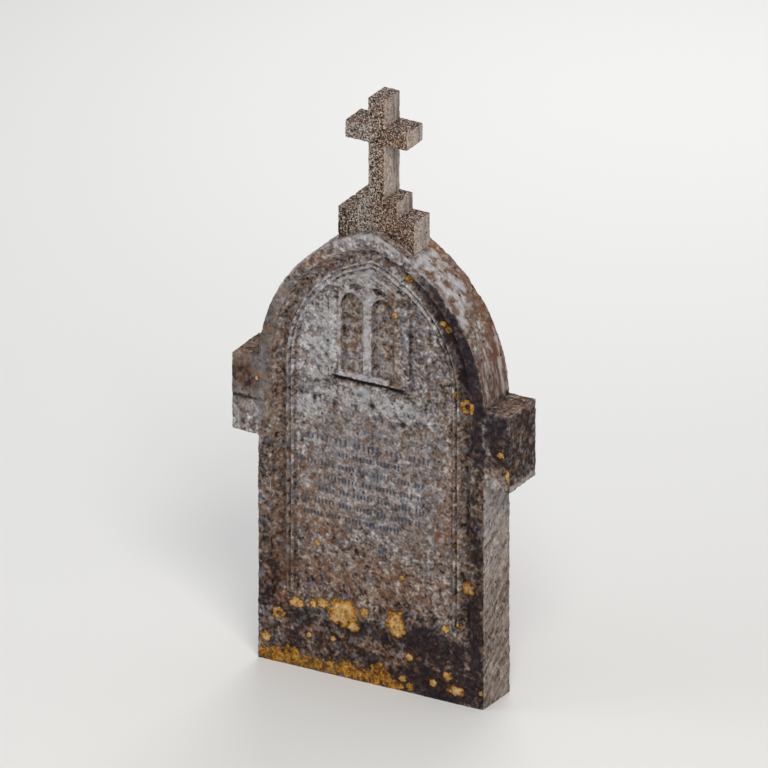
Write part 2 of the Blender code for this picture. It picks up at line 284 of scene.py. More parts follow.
def arch_inset(points, half_width, spring, rise):
    """How far in from the edge of a pointed arch on straight legs each point lies, in metres."""
    centre = (rise**2 - half_width**2) / (2 * half_width)
    across = np.abs(points[:, 0]) + centre
    up = np.maximum(points[:, 2] - spring, 0.0)
    return half_width + centre - np.hypot(across, up)


def frame_inset(points):
    return arch_inset(points, FRAME_HALF_WIDTH, FRAME_SPRING, FRAME_RISE)


def outline_inset(points):
    """How far in from the slab's outline a point lies, with the shoulders taken in."""
    x, z = np.abs(points[:, 0]), points[:, 2]
    block = np.minimum(np.minimum(SHOULDER_REACH - x, z - SHOULDER_LOW), SHOULDER_HIGH - z)
    return np.maximum(arch_inset(points, SLAB_HALF_WIDTH, SLAB_SPRING, SLAB_RISE), block)


WHITE_CRUST = (
    (-0.165, 0.95, 0.060, 0.17, 0.80),
    (-0.128, 0.97, 0.028, 0.13, 1.0),
    (-0.012, 0.96, 0.011, 0.11, 0.9),
    (0.000, 0.812, 0.20, 0.040, 0.95),
    (-0.18, 0.765, 0.06, 0.045, 0.85),
    (-0.19, 0.70, 0.05, 0.05, 0.45),
    (-0.010, 1.165, 0.12, 0.035, 0.80),
    (-0.17, 1.09, 0.05, 0.05, 0.70),
    (0.000, 1.255, 0.12, 0.030, 0.36),
    (-0.030, 1.00, 0.12, 0.16, 0.60),
    (-0.120, 1.16, 0.06, 0.06, 0.60),
    (-0.02, 0.56, 0.19, 0.14, 0.22),
    (-0.385, 0.69, 0.05, 0.05, 0.25),
    (0.385, 0.666, 0.045, 0.020, 0.60),
)
BLACK_CRUST = (
    (0.150, 0.93, 0.07, 0.20, 0.16),
    (0.000, 0.27, 0.36, 0.14, 0.20),
    (-0.310, 0.20, 0.06, 0.20, 0.62),
    (-0.150, 0.06, 0.20, 0.05, 0.45),
    (-0.330, 1.02, 0.05, 0.20, 0.40),
    (-0.250, 1.16, 0.05, 0.07, 0.35),
    (0.390, 0.735, 0.06, 0.035, 0.75),
    (0.325, 0.87, 0.035, 0.08, 1.0),
    (0.385, 0.81, 0.055, 0.065, 1.0),
    (0.295, 0.98, 0.035, 0.12, 1.0),
    (0.245, 1.09, 0.035, 0.08, 0.9),
    (0.180, 1.18, 0.050, 0.04, 0.60),
    (0.325, 0.76, 0.030, 0.12, 0.95),
    (0.320, 0.50, 0.035, 0.22, 0.75),
    (0.320, 0.22, 0.035, 0.20, 0.95),
    (0.160, 0.17, 0.080, 0.05, 1.0),
    (0.250, 0.14, 0.080, 0.06, 0.90),
    (-0.20, 0.15, 0.140, 0.035, 0.75),
    (0.020, 0.15, 0.300, 0.035, 0.75),
    (0.180, 0.07, 0.060, 0.06, 0.85),
    (-0.30, 0.12, 0.050, 0.07, 0.55),
    (0.100, 0.04, 0.300, 0.05, 0.60),
    (-0.315, 0.92, 0.030, 0.22, 0.34),
    (-0.320, 0.55, 0.030, 0.20, 0.45),
    (-0.385, 0.745, 0.050, 0.006, 0.9),
    (-0.385, 0.81, 0.060, 0.050, 0.66),
    (0.395, 0.77, 0.050, 0.07, 0.85),
    (-0.10, 0.08, 0.300, 0.06, 0.66),
    (0.210, 0.05, 0.190, 0.08, 1.0),
    (0.150, 0.03, 0.220, 0.04, 0.90),
    (0.180, 0.15, 0.130, 0.05, 1.0),
)
# Brown dirt, and one painted shadow beside the window's right jamb.
BROWN_DIRT_AND_SHADOW = (
    (0.320, 0.45, 0.05, 0.30, 0.70),
    (-0.285, 0.60, 0.035, 0.35, 0.75),
    (-0.280, 0.25, 0.070, 0.15, 0.85),
    (-0.170, 0.45, 0.120, 0.07, 0.55),
    (0.000, 0.28, 0.280, 0.10, 0.80),
    (-0.062, 1.03, 0.036, 0.06, 0.75),
    (0.035, 1.03, 0.036, 0.06, 0.60),
    (-0.060, 0.91, 0.034, 0.05, 0.40),
    # A painted shadow: the narrow dark strip beside the window's right jamb.
    (0.077, 0.95, 0.008, 0.12, 0.80),
    (0.260, 0.55, 0.045, 0.30, 0.70),
    (0.205, 0.50, 0.010, 0.20, 0.60),
    (-0.385, 0.81, 0.045, 0.055, 0.80),
    (0.000, 0.08, 0.360, 0.09, 0.95),
    (-0.150, 1.190, 0.120, 0.035, 0.60),
    (0.390, 0.72, 0.050, 0.08, 0.60),
)
BACK_CRUST = (
    (-0.14, 1.08, 0.12, 0.14, 0.55),
    (0.16, 0.95, 0.10, 0.20, 0.50),
    (0.05, 0.55, 0.18, 0.12, 0.55),
    (-0.20, 0.62, 0.10, 0.10, 0.45),
    (0.22, 0.36, 0.08, 0.10, 0.45),
    (-0.10, 0.30, 0.12, 0.07, 0.35),
    (0.00, 1.22, 0.16, 0.05, 0.40),
)
# Dark spots below the sill: the three under its left end are painted shadow, the others are pits.
SILL_SHADOWS_AND_PITS = (
    (-0.135, 0.846, 0.012, 0.005, 0.9),
    (-0.160, 0.839, 0.010, 0.006, 0.8),
    (-0.186, 0.833, 0.012, 0.006, 0.8),
    (-0.210, 0.795, 0.009, 0.010, 0.9),
    (-0.170, 0.790, 0.008, 0.010, 0.9),
    (-0.110, 0.785, 0.008, 0.012, 0.8),
    (0.005, 0.800, 0.010, 0.012, 0.8),
    (0.030, 0.775, 0.008, 0.008, 0.7),
    (0.100, 0.770, 0.012, 0.010, 0.8),
)
RUST_STAINS = (
    (-0.190, 0.58, 0.070, 0.10, 0.80),
    (-0.240, 0.62, 0.020, 0.20, 0.55),
    (-0.150, 0.42, 0.120, 0.06, 0.70),
    (0.215, 0.50, 0.030, 0.25, 0.60),
    (-0.150, 1.190, 0.060, 0.03, 0.75),
    (-0.385, 0.80, 0.050, 0.050, 0.50),
    (0.100, 0.32, 0.120, 0.08, 0.50),
    (-0.270, 0.30, 0.040, 0.15, 0.60),
    (-0.180, 0.30, 0.10, 0.07, 0.45),
    (-0.060, 0.96, 0.030, 0.05, 0.40),
)
ORANGE_LICHENS = (
    (-0.082, 0.186, 0.042, 0.037),
    (-0.052, 0.153, 0.017, 0.016),
    (-0.108, 0.166, 0.018, 0.016),
    (0.074, 0.196, 0.028, 0.032),
    (0.082, 0.174, 0.024, 0.022),
    (-0.018, 0.200, 0.015, 0.014),
    (-0.148, 0.200, 0.022, 0.014),
    (-0.176, 0.192, 0.011, 0.012),
    (-0.224, 0.184, 0.022, 0.014),
    (-0.319, 0.066, 0.017, 0.015),
    (-0.113, 0.105, 0.009, 0.008),
    (-0.187, 0.100, 0.008, 0.008),
    (0.2345, 0.074, 0.014, 0.014),
    (0.261, 0.038, 0.026, 0.014),
    (0.190, 0.045, 0.011, 0.011),
    (0.1186, 0.103, 0.011, 0.011),
    (0.0975, 0.037, 0.011, 0.011),
    (0.229, 0.208, 0.012, 0.010),
    (0.269, 0.227, 0.009, 0.009),
    (0.298, 0.340, 0.018, 0.019),
    (0.337, 0.047, 0.007, 0.007),
    (0.095, 0.324, 0.009, 0.008),
    (-0.163, 0.369, 0.009, 0.009),
    (0.119, 1.194, 0.013, 0.010),
    (0.222, 1.087, 0.012, 0.009),
    (0.238, 1.073, 0.011, 0.009),
    (0.074, 1.080, 0.009, 0.009),
    (0.395, 0.749, 0.012, 0.008),
    (-0.346, 0.806, 0.006, 0.007),
    (0.418, 0.690, 0.008, 0.022),
)
BAND_LICHENS = (
    (-0.325, 0.020, 0.022, 0.018),
    (-0.285, 0.022, 0.026, 0.020),
    (-0.240, 0.030, 0.028, 0.026),
    (-0.195, 0.022, 0.028, 0.018),
    (-0.115, 0.020, 0.026, 0.018),
    (-0.070, 0.026, 0.030, 0.022),
    (-0.020, 0.020, 0.028, 0.018),
    (0.025, 0.038, 0.026, 0.026),
    (0.045, 0.024, 0.022, 0.022),
    (0.120, 0.018, 0.012, 0.012),
    (-0.155, 0.018, 0.030, 0.018),
    (-0.045, 0.016, 0.040, 0.018),
    (-0.215, 0.014, 0.050, 0.016),
    (0.000, 0.014, 0.050, 0.016),
    (-0.300, 0.012, 0.040, 0.014),
    (0.070, 0.014, 0.030, 0.014),
)
RING_LICHENS = (
    (0.295, 0.864, 0.022, 0.020),
    (0.264, 0.891, 0.012, 0.011),
    (-0.279, 0.142, 0.019, 0.018),
)


def lichen_field(points, places, ring=False):
    """1 at the middle of each lichen, 0 at its rim and below 0 outside. A ring is 1 along its band."""
    field = np.full(len(points), -1.0)
    for x, z, half_width, half_height in places:
        turn = np.arctan2(points[:, 2] - z, points[:, 0] - x)
        lobes = 1 + 0.10 * np.sin(5 * turn + 40 * x) + 0.07 * np.sin(9 * turn + 90 * z)
        reach = np.hypot((points[:, 0] - x) / half_width, (points[:, 2] - z) / half_height) / lobes
        level = 1 - np.abs(reach - 0.68) / 0.32 if ring else 1 - reach
        field = np.maximum(field, level)
    return field




def slab_masks(points, normals):
    """Every growth's weight, and the painted shade's, at each point of the slab, by its name."""
    x, y, z = points.T
    side = ramp(outline_inset(points), 0.009, 0.005) * ramp(y, FRONT + 0.001, FRONT + 0.005) * ramp(y, 0.0695, 0.0655)
    front = (1 - side) * ramp(y, FRONT + 0.060, FRONT + 0.045)
    back = (1 - side) * ramp(y, 0.040, 0.055)
    inset = frame_inset(points)
    seen = points.copy()  # the places were read off in the plane of the front face
    seen[:, 0] += 0.577 * np.clip(y - FRONT, 0.0, 0.03)
    seen[:, 2] += 0.391 * np.clip(y - FRONT, 0.0, 0.03)
    in_frame = front * ramp(z, 0.15, 0.20)
    hollow_band = in_frame * ramp(inset, -0.002, 0.004) * ramp(inset, 0.040, 0.034)
    bead_band = in_frame * ramp(inset, 0.036, 0.042) * ramp(inset, 0.064, 0.058)
    margin = front * ramp(inset, 0.004, -0.002)
    window_box = front * ramp(np.abs(x - WINDOW_MIDDLE), 0.090, 0.084) * ramp(z, 0.86, 0.87) * ramp(z, 1.20, 1.19)
    pierced = window_box * ramp(y, FIELD_LEVEL, FIELD_LEVEL + 0.004)
    lights = pierced * ramp(z, 1.122, 1.118)
    raised = window_box * ramp(y, FIELD_LEVEL - 0.0015, FIELD_LEVEL - 0.0040)
    # A painted shadow: the strip of field just under the window sill, turned near black in the finish.
    sill_shadow = front * ramp(z, 0.8500, 0.8530) * ramp(z, 0.8705, 0.8680) * ramp(np.abs(x + 0.012), 0.111, 0.106)
    right_border = front * ramp(x, 0.06, 0.22) * ramp(inset, 0.046, 0.036) * ramp(z, 0.80, 0.92) * ramp(z, 1.27, 1.14)
    top_arris = front * ramp(inset, -0.022, -0.030) * ramp(z, 1.02, 1.16)
    shoulder_top = side * ramp(z, 0.856, 0.861) * ramp(z, 0.878, 0.872) * ramp(np.abs(x), 0.336, 0.346)
    arch_side = side * ramp(z, 0.862, 0.880) * (1 - shoulder_top)
    upright_side = side * ramp(z, 0.880, 0.862) * (1 - shoulder_top)
    shoulder_side = upright_side * ramp(np.abs(x), 0.405, 0.415) * ramp(z, 0.655, 0.665)
    plain_side = upright_side * (1 - shoulder_side)

    pale = front * patches(seen, WHITE_CRUST)
    pale = np.maximum(pale, bead_band * (0.15 + 0.55 * ramp(z, 0.7, 1.1)) * ramp(x, 0.27, 0.16))
    pale *= 1 - 0.6 * hollow_band * ramp(z, 1.22, 1.10)
    pale = np.maximum(pale, top_arris * 1.0)
    pale = np.maximum(pale, arch_side * (0.10 + 0.45 * near(y, -0.020, 0.045) * ramp(z, 0.96, 1.10)))
    pale = np.maximum(pale, plain_side * 0.95 * ramp(z, 0.18, 0.72))
    pale = np.maximum(pale, back * patches(points, BACK_CRUST))
    # Painted shade: the raised window frame's right jamb is kept less pale here, and made browner below.
    pale = np.maximum(pale, raised * (0.95 - 0.60 * ramp(x, 0.044, 0.054)) * (1 - 0.45 * ramp(z, 1.08, 1.13)))
    pale *= (1 - shoulder_top) * (1 - sill_shadow)
    worn = 0.25 + 0.75 * np.maximum(ramp(z, 0.95, 1.15), 1 - front) - 0.25 * ramp(x, 0.15, 0.25) * front * ramp(z, 0.55, 0.64)
    dark = front * patches(seen, BLACK_CRUST)
    dark = np.maximum(dark, right_border * (0.76 - 0.25 * ramp(x, 0.20, 0.08)))
    dark = np.maximum(dark, shoulder_side * 0.62)
    dark = np.maximum(dark, plain_side * 0.16 * ramp(z, 0.50, 0.25))
    dark = np.maximum(dark, shoulder_top * 0.45)
    dark = np.maximum(dark, hollow_band * (0.10 + 0.20 * ramp(x, 0.0, 0.2)) * ramp(z, 1.20, 1.05))
    dark = np.maximum(dark, back * (0.16 + 0.35 * ramp(z, 0.22, 0.0) + 0.30 * ramp(frame_inset(points), 0.06, -0.04)))
    brown = front * patches(seen, BROWN_DIRT_AND_SHADOW)
    brown = np.maximum(brown, lights * (0.70 - 0.35 * ramp(z, 0.98, 0.90)))
    # Painted shade: the raised frame's right jamb is browner.
    brown = np.maximum(brown, raised * 0.9 * ramp(x, 0.044, 0.054))
    brown = np.maximum(brown, hollow_band * 0.55 * ramp(z, 1.25, 1.10))
    brown = np.maximum(brown, shoulder_top * 0.9)
    brown = np.maximum(brown, arch_side * (0.55 + 0.45 * ramp(y, 0.005, 0.045)))
    brown = np.maximum(brown, upright_side * (0.60 - 0.2 * ramp(z, 0.3, 0.6)))
    brown = np.maximum(brown, back * (0.35 + 0.45 * ramp(z, 0.5, 0.1)))
    rust = front * patches(seen, RUST_STAINS)
    rust = np.maximum(rust, arch_side * ramp(y, -0.01, 0.045) * 0.85)
    rust = np.maximum(rust, shoulder_side * 0.35)
    rust = np.maximum(rust, plain_side * 0.30 * ramp(z, 0.6, 0.2))
    lichen = np.maximum(lichen_field(seen, ORANGE_LICHENS), np.minimum(lichen_field(seen, BAND_LICHENS), 0.10))
    lichen = np.maximum(lichen, np.minimum(lichen_field(seen, RING_LICHENS, ring=True), 0.22))
    facing = ramp(-normals[:, 1], 0.25, 0.55)  # lichens that were read off the front stay off the inner walls
    lichen = np.where(front * facing > 0.3, lichen, -1.0)
    return {
        "pale": pale,
        "dark": dark,
        "brown": brown,
        "rust": rust,
        "lichen": lichen,
        # Painted shade: near black under the sill and at the spots below it, and darker in the window's sunk recesses,
        # least low in the two lights.
        "shade_and_pits": np.maximum(np.maximum(sill_shadow, front * patches(seen, SILL_SHADOWS_AND_PITS)) * 1.1, 0.30 * pierced - lights * (0.08 + 0.20 * ramp(z, 1.05, 0.93))),
        "calm": np.maximum(
            margin * ramp(x, -0.20, -0.30) * ramp(z, 0.65, 0.80),
            np.maximum(np.maximum(right_border * 0.7, raised * 0.25), 0.42 * front * ramp(np.abs(x), 0.24, 0.18) * ramp(np.abs(z - 0.59), 0.20, 0.14)),
        ),
        "tooling": plain_side + 0.7 * back,
        "runs": arch_side * 0.2 + 0.4 * margin * ramp(z, 0.3, 0.5) * ramp(z, 1.16, 1.02) + shoulder_side * 0.3,
        "worn": worn,
        "flank": arch_side * ramp(z, 0.98, 1.10) * ramp(y, 0.062, 0.030) * ramp(z, 1.262, 1.235),
        "drips": arch_side * ramp(z, 1.14, 1.00),
        "back": back,
    }


def cross_masks(points, normals):
    """Every growth's weight at each point of the cross, by its name."""
    x, y, z = points.T
    facing = ramp(np.abs(normals[:, 1]), 0.5, 0.8)
    left = ramp(x, 0.03, -0.03)
    lower_left = ramp(x, -0.05, -0.07) * ramp(z, 1.41, 1.39)
    end_face = ramp(np.abs(normals[:, 0]), 0.5, 0.8)
    rear_half = ramp(y, -0.008, 0.006)
    return {
        "pale": facing * (0.15 + 0.75 * left - 0.45 * lower_left) + end_face * (0.20 + 0.30 * rear_half),
        "dark": facing * (0.38 * left + 0.15 * lower_left),
        "brown": facing * (0.95 - 0.25 * left) + (1 - facing) * 0.80,
        "rust": np.full(len(points), 0.10),
        "lichen": np.full(len(points), -1.0),
        "calm": np.maximum(end_face * (0.95 - 0.45 * rear_half), facing * 0.62 * (1 - left)),
        "runs": end_face * rear_half,
        "drips": 0.55 * end_face * rear_half,
        "tooling": np.maximum(end_face, 0.16 * facing * (1 - left)),
        "worn": np.ones(len(points)),
    }


def store_masks(piece, masks):
    """Keeps one number for each point and growth or painted shade, for the materials to read."""
    for name, values in masks.items():
        if name in piece.data.attributes:
            piece.data.attributes.remove(piece.data.attributes[name])
        attribute = piece.data.attributes.new(name, "FLOAT", "POINT")
        attribute.data.foreach_set("value", np.clip(values, -1.0, 1.0).astype(np.float32))


# %% [markdown]
# Old sandstone keeps its shapes but loses its sharpness. The arrises are rounded and chipped in
# places, and the faces lose grains of sand here and there, so they are uneven by a millimetre or
# so. Crusts and lichens stand on top of that. Each of these is a displacement with its own size.


# %% Wearing down
def clouds(name, size, depth=2, contrast=1.0, brightness=1.0):
    texture = bpy.data.textures.new(name, "CLOUDS")
    texture.noise_scale = size
    texture.noise_depth = depth
    texture.contrast = contrast
    texture.intensity = brightness
    return texture


def apply_all(piece):
    bpy.ops.object.select_all(action="DESELECT")
    bpy.context.view_layer.objects.active = piece
    piece.select_set(True)
    for modifier in list(piece.modifiers):
        bpy.ops.object.modifier_apply(modifier=modifier.name)


def displace(piece, name, texture, strength, group="", level=0.5):
    modifier = piece.modifiers.new(name, "DISPLACE")
    modifier.texture = texture
    modifier.texture_coords = "LOCAL"
    modifier.strength = strength
    modifier.mid_level = level
    modifier.vertex_group = group


def wear_down(piece, masks, chip_depth, grain, decay):
    """Rounds and chips the arrises, makes the faces uneven and pitted, and raises the crusts."""
    underside = points_of(piece)[:, 2] < 0.001
    proud = proudness(piece, 12)
    broad = proudness(piece, 45)
    store_group(piece, "arris", (proud - 0.0003) / 0.0014)
    store_group(piece, "crust", masks["pale"])
    store_group(piece, "lichen", ramp(masks["lichen"], -0.15, 0.20))
    # The groove and hollow weights darken the stone's tone in the finish, as painted shade in creases and recesses.
    store_masks(
        piece,
        {
            "wear": ramp(proud, 0.0003, 0.0014),
            "groove_shade": ramp(-proud, 0.0001, 0.0009),
            "hollow_shade": ramp(-broad, 0.0004, 0.0030),
        },
    )
    rounding = piece.modifiers.new("rounded arrises", "SMOOTH")
    rounding.iterations = 2
    rounding.factor = 0.5
    rounding.vertex_group = "arris"
    displace(piece, "chips", clouds(piece.name + " chips", 0.032, 3, 2.6, 1.35), chip_depth, "arris", 1.0)
    displace(piece, "swells", clouds(piece.name + " swells", 0.16, 1), 0.0014 * decay)
    displace(piece, "pits", clouds(piece.name + " pits", grain, 3, 2.6, 1.35), 0.0013 * decay, "", 1.0)
    displace(piece, "crumbs", clouds(piece.name + " crumbs", grain * 0.6, 2), 0.0009 * decay)
    displace(piece, "crusts", clouds(piece.name + " crusts", 0.018, 4, 3.0), 0.0012, "crust", 0.3)
    if "back" in masks:
        store_group(piece, "back", masks["back"])
        displace(piece, "hewn back", clouds(piece.name + " hewing", 0.060, 2, 1.4), 0.0016, "back", 0.7)
    displace(piece, "lichens", clouds(piece.name + " lichens", 0.006, 3, 1.5), 0.0022, "lichen", 0.0)
    apply_all(piece)
    piece.vertex_groups.clear()
    worn_points = points_of(piece)
    worn_points[underside, 2] = 0.0  # the ground cuts the slab off flat
    worn_points[:, 2] = np.maximum(worn_points[:, 2], 0.0)
    piece.data.vertices.foreach_set("co", worn_points.ravel())
    piece.data.update()


wear_down(slab, slab_masks(points_of(slab), normals_of(slab)), 0.0024, 0.012, 1.0)
wear_down(cross, cross_masks(points_of(cross), normals_of(cross)), 0.0015, 0.008, 0.5)
print("worn down:", slab.name, cross.name)

# %% [markdown]
# The even grid has far more faces than the plain sides and the back need. They are merged there
# first, and then more gently on the carved front, until the slab is light enough to use.


# %% Fewer faces
def triangle_count(piece):
    return sum(len(face.vertices) - 2 for face in piece.data.polygons)


def thin_out(piece, chosen, triangles):
    """Merges faces among the chosen points until about that many triangles are left there."""
    mesh = piece.data
    corners = np.empty(len(mesh.loops), dtype=np.int64)
    mesh.loops.foreach_get("vertex_index", corners)
    share = float(chosen[corners].mean())
    ratio = min(1.0, triangles / (share * triangle_count(piece)))
    bpy.ops.object.select_all(action="DESELECT")
    bpy.context.view_layer.objects.active = piece
    piece.select_set(True)
    bpy.ops.object.mode_set(mode="EDIT")
    bpy.ops.mesh.select_mode(type="VERT")
    bpy.ops.mesh.select_all(action="DESELECT")
    bpy.ops.object.mode_set(mode="OBJECT")
    mesh.vertices.foreach_set("select", chosen)
    bpy.ops.object.mode_set(mode="EDIT")
    bpy.ops.mesh.decimate(ratio=ratio)
    bpy.ops.object.mode_set(mode="OBJECT")
    print(piece.name, "has", triangle_count(piece), "triangles left")


CARVED_DEPTH = 0.036  # everything carved lies within this of the front face
thin_out(slab, points_of(slab)[:, 1] > FRONT + CARVED_DEPTH, 42000)
thin_out(slab, points_of(slab)[:, 1] <= FRONT + CARVED_DEPTH, 110000)

# %% [markdown]
# The inscription has worn away to rows of short, blurred marks. They are cut here as separate
# shallow strokes that stand for no letters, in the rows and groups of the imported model. One stroke
# is a cube drawn out and tapered to a blunt wedge. Its copies lean this way and that.

# %% One stroke of the chisel
FIELD = FRONT + 0.018
ROW_TOP = 0.668
ROW_PITCH = 0.0366
ROW_HALF_LENGTHS = (0.188, 0.100, 0.192, 0.150, 0.160, 0.184, 0.152)
ROW_SHIFTS = (-0.012, -0.005, -0.040, 0.0, -0.006, -0.036, -0.060)
STROKE_LEANS = (0.0, 0.12, 0.0, -0.10, 0.06, 0.0, -0.14)
STROKES_PER_GROUP = (5, 3, 6, 4)
STROKE_SPACING = 0.78  # as a share of a stroke's height


def inscription_strokes():
    """Each stroke as its middle's x and z, its height and its lean."""
    strokes = []
    for row, half_length in enumerate(ROW_HALF_LENGTHS):
        tall = 0.0135 if row else 0.018
        x = ROW_SHIFTS[row] - half_length
        group = row
        left = STROKES_PER_GROUP[group % 4]
        while x <= ROW_SHIFTS[row] + half_length:
            count = len(strokes)
            height = tall * (0.80, 1.0, 0.70)[count % 3]
            strokes.append((x, ROW_TOP - row * ROW_PITCH, height, STROKE_LEANS[count % 7]))
            left -= 1
            x += tall * STROKE_SPACING
            if left == 0:
                group += 1
                left = STROKES_PER_GROUP[group % 4]
                x += tall * STROKE_SPACING
    return strokes


bpy.ops.object.select_all(action="DESELECT")
bpy.ops.mesh.primitive_cube_add(size=1.0, location=(0.0, 0.0, 0.0), scale=(0.0055, 0.0080, 1.0))
stroke = bpy.context.object
bpy.ops.object.transform_apply(location=False, rotation=False, scale=True)
bpy.ops.object.mode_set(mode="EDIT")
bpy.ops.mesh.select_all(action="DESELECT")
bpy.ops.object.mode_set(mode="OBJECT")
for face in stroke.data.polygons:
    face.select = face.normal.y > 0.9
bpy.ops.object.mode_set(mode="EDIT")
bpy.ops.transform.resize(value=(0.35, 1.0, 0.86))
bpy.ops.object.mode_set(mode="OBJECT")
print("a stroke has", len(stroke.data.polygons), "faces")

# %% The rows of strokes
STROKE_DEPTH = 0.0026
strokes = inscription_strokes()
copies = []
for x, z, height, lean in strokes:
    copy = bpy.data.objects.new("stroke", stroke.data.copy())
    bpy.context.scene.collection.objects.link(copy)
    copy.scale = (1.0, 1.0, height)
    copy.rotation_euler = (0.0, lean, 0.0)
    copy.location = (x, FIELD + STROKE_DEPTH - 0.0040, z)
    copies.append(copy)
bpy.ops.object.select_all(action="DESELECT")
for copy in copies:
    copy.select_set(True)
bpy.context.view_layer.objects.active = copies[0]
bpy.ops.object.transform_apply(location=True, rotation=True, scale=True)
bpy.ops.object.join()
rows = copies[0]
cutting = slab.modifiers.new("inscription", "BOOLEAN")
cutting.operation = "DIFFERENCE"
cutting.solver = "EXACT"
cutting.object = rows
apply_all(slab)
for spare in (rows, stroke):
    bpy.data.objects.remove(spare, do_unlink=True)
print(len(strokes), "strokes are cut, and the slab has", triangle_count(slab), "triangles")


# %% Masks of both pieces
def ink_field(points):
    """1 in the middle of each stroke, fading to 0 beside it. The strokes still hold dark dirt."""
    near_field = np.flatnonzero((points[:, 1] < FRONT + 0.030) & (points[:, 2] > 0.40) & (points[:, 2] < 0.70))
    x, z = points[near_field, 0], points[near_field, 2]
    strongest = np.zeros(len(near_field))
    for middle_x, middle_z, height, lean in strokes:
        across = (x - middle_x) * math.cos(lean) - (z - middle_z) * math.sin(lean)
        along = (x - middle_x) * math.sin(lean) + (z - middle_z) * math.cos(lean)
        past_end = np.maximum(np.abs(along) - height / 2, 0.0)
        strongest = np.maximum(strongest, 1 - np.hypot(across / 0.0080, past_end / 0.0048))
    field = np.zeros(len(points))
    field[near_field] = strongest
    return field


slab_weights = slab_masks(points_of(slab), normals_of(slab))
slab_weights["ink"] = ink_field(points_of(slab))
store_masks(slab, slab_weights)
store_masks(cross, cross_masks(points_of(cross), normals_of(cross)))
for piece in (slab, cross):
    bpy.ops.object.select_all(action="DESELECT")
    bpy.context.view_layer.objects.active = piece
    piece.select_set(True)
    bpy.ops.object.shade_smooth_by_angle(angle=math.radians(50))
print("masks:", ", ".join(slab_weights))

# %% [markdown]
# Every finish is built from the same few effects, so each effect is a node group of its own, with
# named inputs that each material sets for itself.


# %% Node helpers
def add_node(tree, kind, label="", **settings):
    node = tree.nodes.new(kind)
    node.label = label
    for key, value in settings.items():
        setattr(node, key, value)
    return node


def feed(tree, source, socket):
    """Joins an output to an input, or sets the input where the source is a plain value."""
    if isinstance(source, bpy.types.NodeSocket):
        tree.links.new(source, socket)
    else:
        socket.default_value = source


def maths(tree, operation, first, second=0.0, third=0.0, clamp=False):
    node = add_node(tree, "ShaderNodeMath", operation=operation, use_clamp=clamp)
    for socket, value in zip(node.inputs, (first, second, third)):
        feed(tree, value, socket)
    return node.outputs[0]


def smooth_step(tree, value, low, high):
    node = add_node(tree, "ShaderNodeMapRange", interpolation_type="SMOOTHSTEP")
    feed(tree, value, node.inputs["Value"])
    feed(tree, low, node.inputs["From Min"])
    feed(tree, high, node.inputs["From Max"])
    return node.outputs["Result"]


def mix_colours(tree, amount, lower, upper, blend="MIX"):
    node = add_node(tree, "ShaderNodeMix", data_type="RGBA", blend_type=blend)
    feed(tree, amount, node.inputs["Factor"])
    for socket, colour in ((node.inputs[6], lower), (node.inputs[7], upper)):
        feed(tree, colour if isinstance(colour, bpy.types.NodeSocket) else (*colour, 1.0), socket)
    return node.outputs[2]


def noise(tree, vector, scale, detail=3.0, roughness=0.6, distortion=0.0, shift=0.0):
    node = add_node(tree, "ShaderNodeTexNoise", noise_dimensions="4D")
    feed(tree, vector, node.inputs["Vector"])
    feed(tree, scale, node.inputs["Scale"])
    feed(tree, shift, node.inputs["W"])
    node.inputs["Detail"].default_value = detail
    node.inputs["Roughness"].default_value = roughness
    node.inputs["Distortion"].default_value = distortion
    return node.outputs["Fac"]


def attribute(tree, name):
    return add_node(tree, "ShaderNodeAttribute", name, attribute_name=name).outputs["Fac"]


def start_group(name, inputs, outputs):
    """A new node group. inputs maps names to default values, where None means a vector."""
    group = bpy.data.node_groups.new(name, "ShaderNodeTree")
    for label, value in inputs.items():
        kind = "NodeSocketVector" if value is None else "NodeSocketFloat"
        socket = group.interface.new_socket(name=label, in_out="INPUT", socket_type=kind)
        if value is not None:
            socket.default_value = value
    for label, kind in outputs.items():
        group.interface.new_socket(name=label, in_out="OUTPUT", socket_type=kind)
    return group, group.nodes.new("NodeGroupInput").outputs, group.nodes.new("NodeGroupOutput").inputs


def use_group(tree, group, **values):
    node = add_node(tree, "ShaderNodeGroup", group.name, node_tree=group)
    for label, value in values.items():
        feed(tree, value, node.inputs[label.replace("_", " ")])
    return node.outputs


# %% [markdown]
# The stone's own colour hardly shows. What the eye sees is a fine mottle of pale and dark specks,
# each a few millimetres across. Three noises of different sizes are added up to one tone, which
# two colour ramps turn into a greyish and a brownish set of colours.

# %% Mottled stone
GREYS = ((28, 25, 26), (58, 51, 50), (90, 82, 78), (120, 112, 108), (148, 143, 141), (176, 174, 174), (208, 208, 210))
BROWNS = ((30, 21, 16), (64, 46, 36), (98, 75, 60), (128, 104, 86), (152, 132, 114), (176, 160, 146), (200, 190, 180))


def tone_ramp(tree, tone, colours):
    node = add_node(tree, "ShaderNodeValToRGB")
    feed(tree, tone, node.inputs["Fac"])
    stops = node.color_ramp.elements
    while len(stops) < len(colours):
        stops.new(0.5)
    for index, colour in enumerate(colours):
        stops[index].position = index / (len(colours) - 1)
        stops[index].color = (*srgb(*colour), 1.0)
    return node.outputs["Color"]


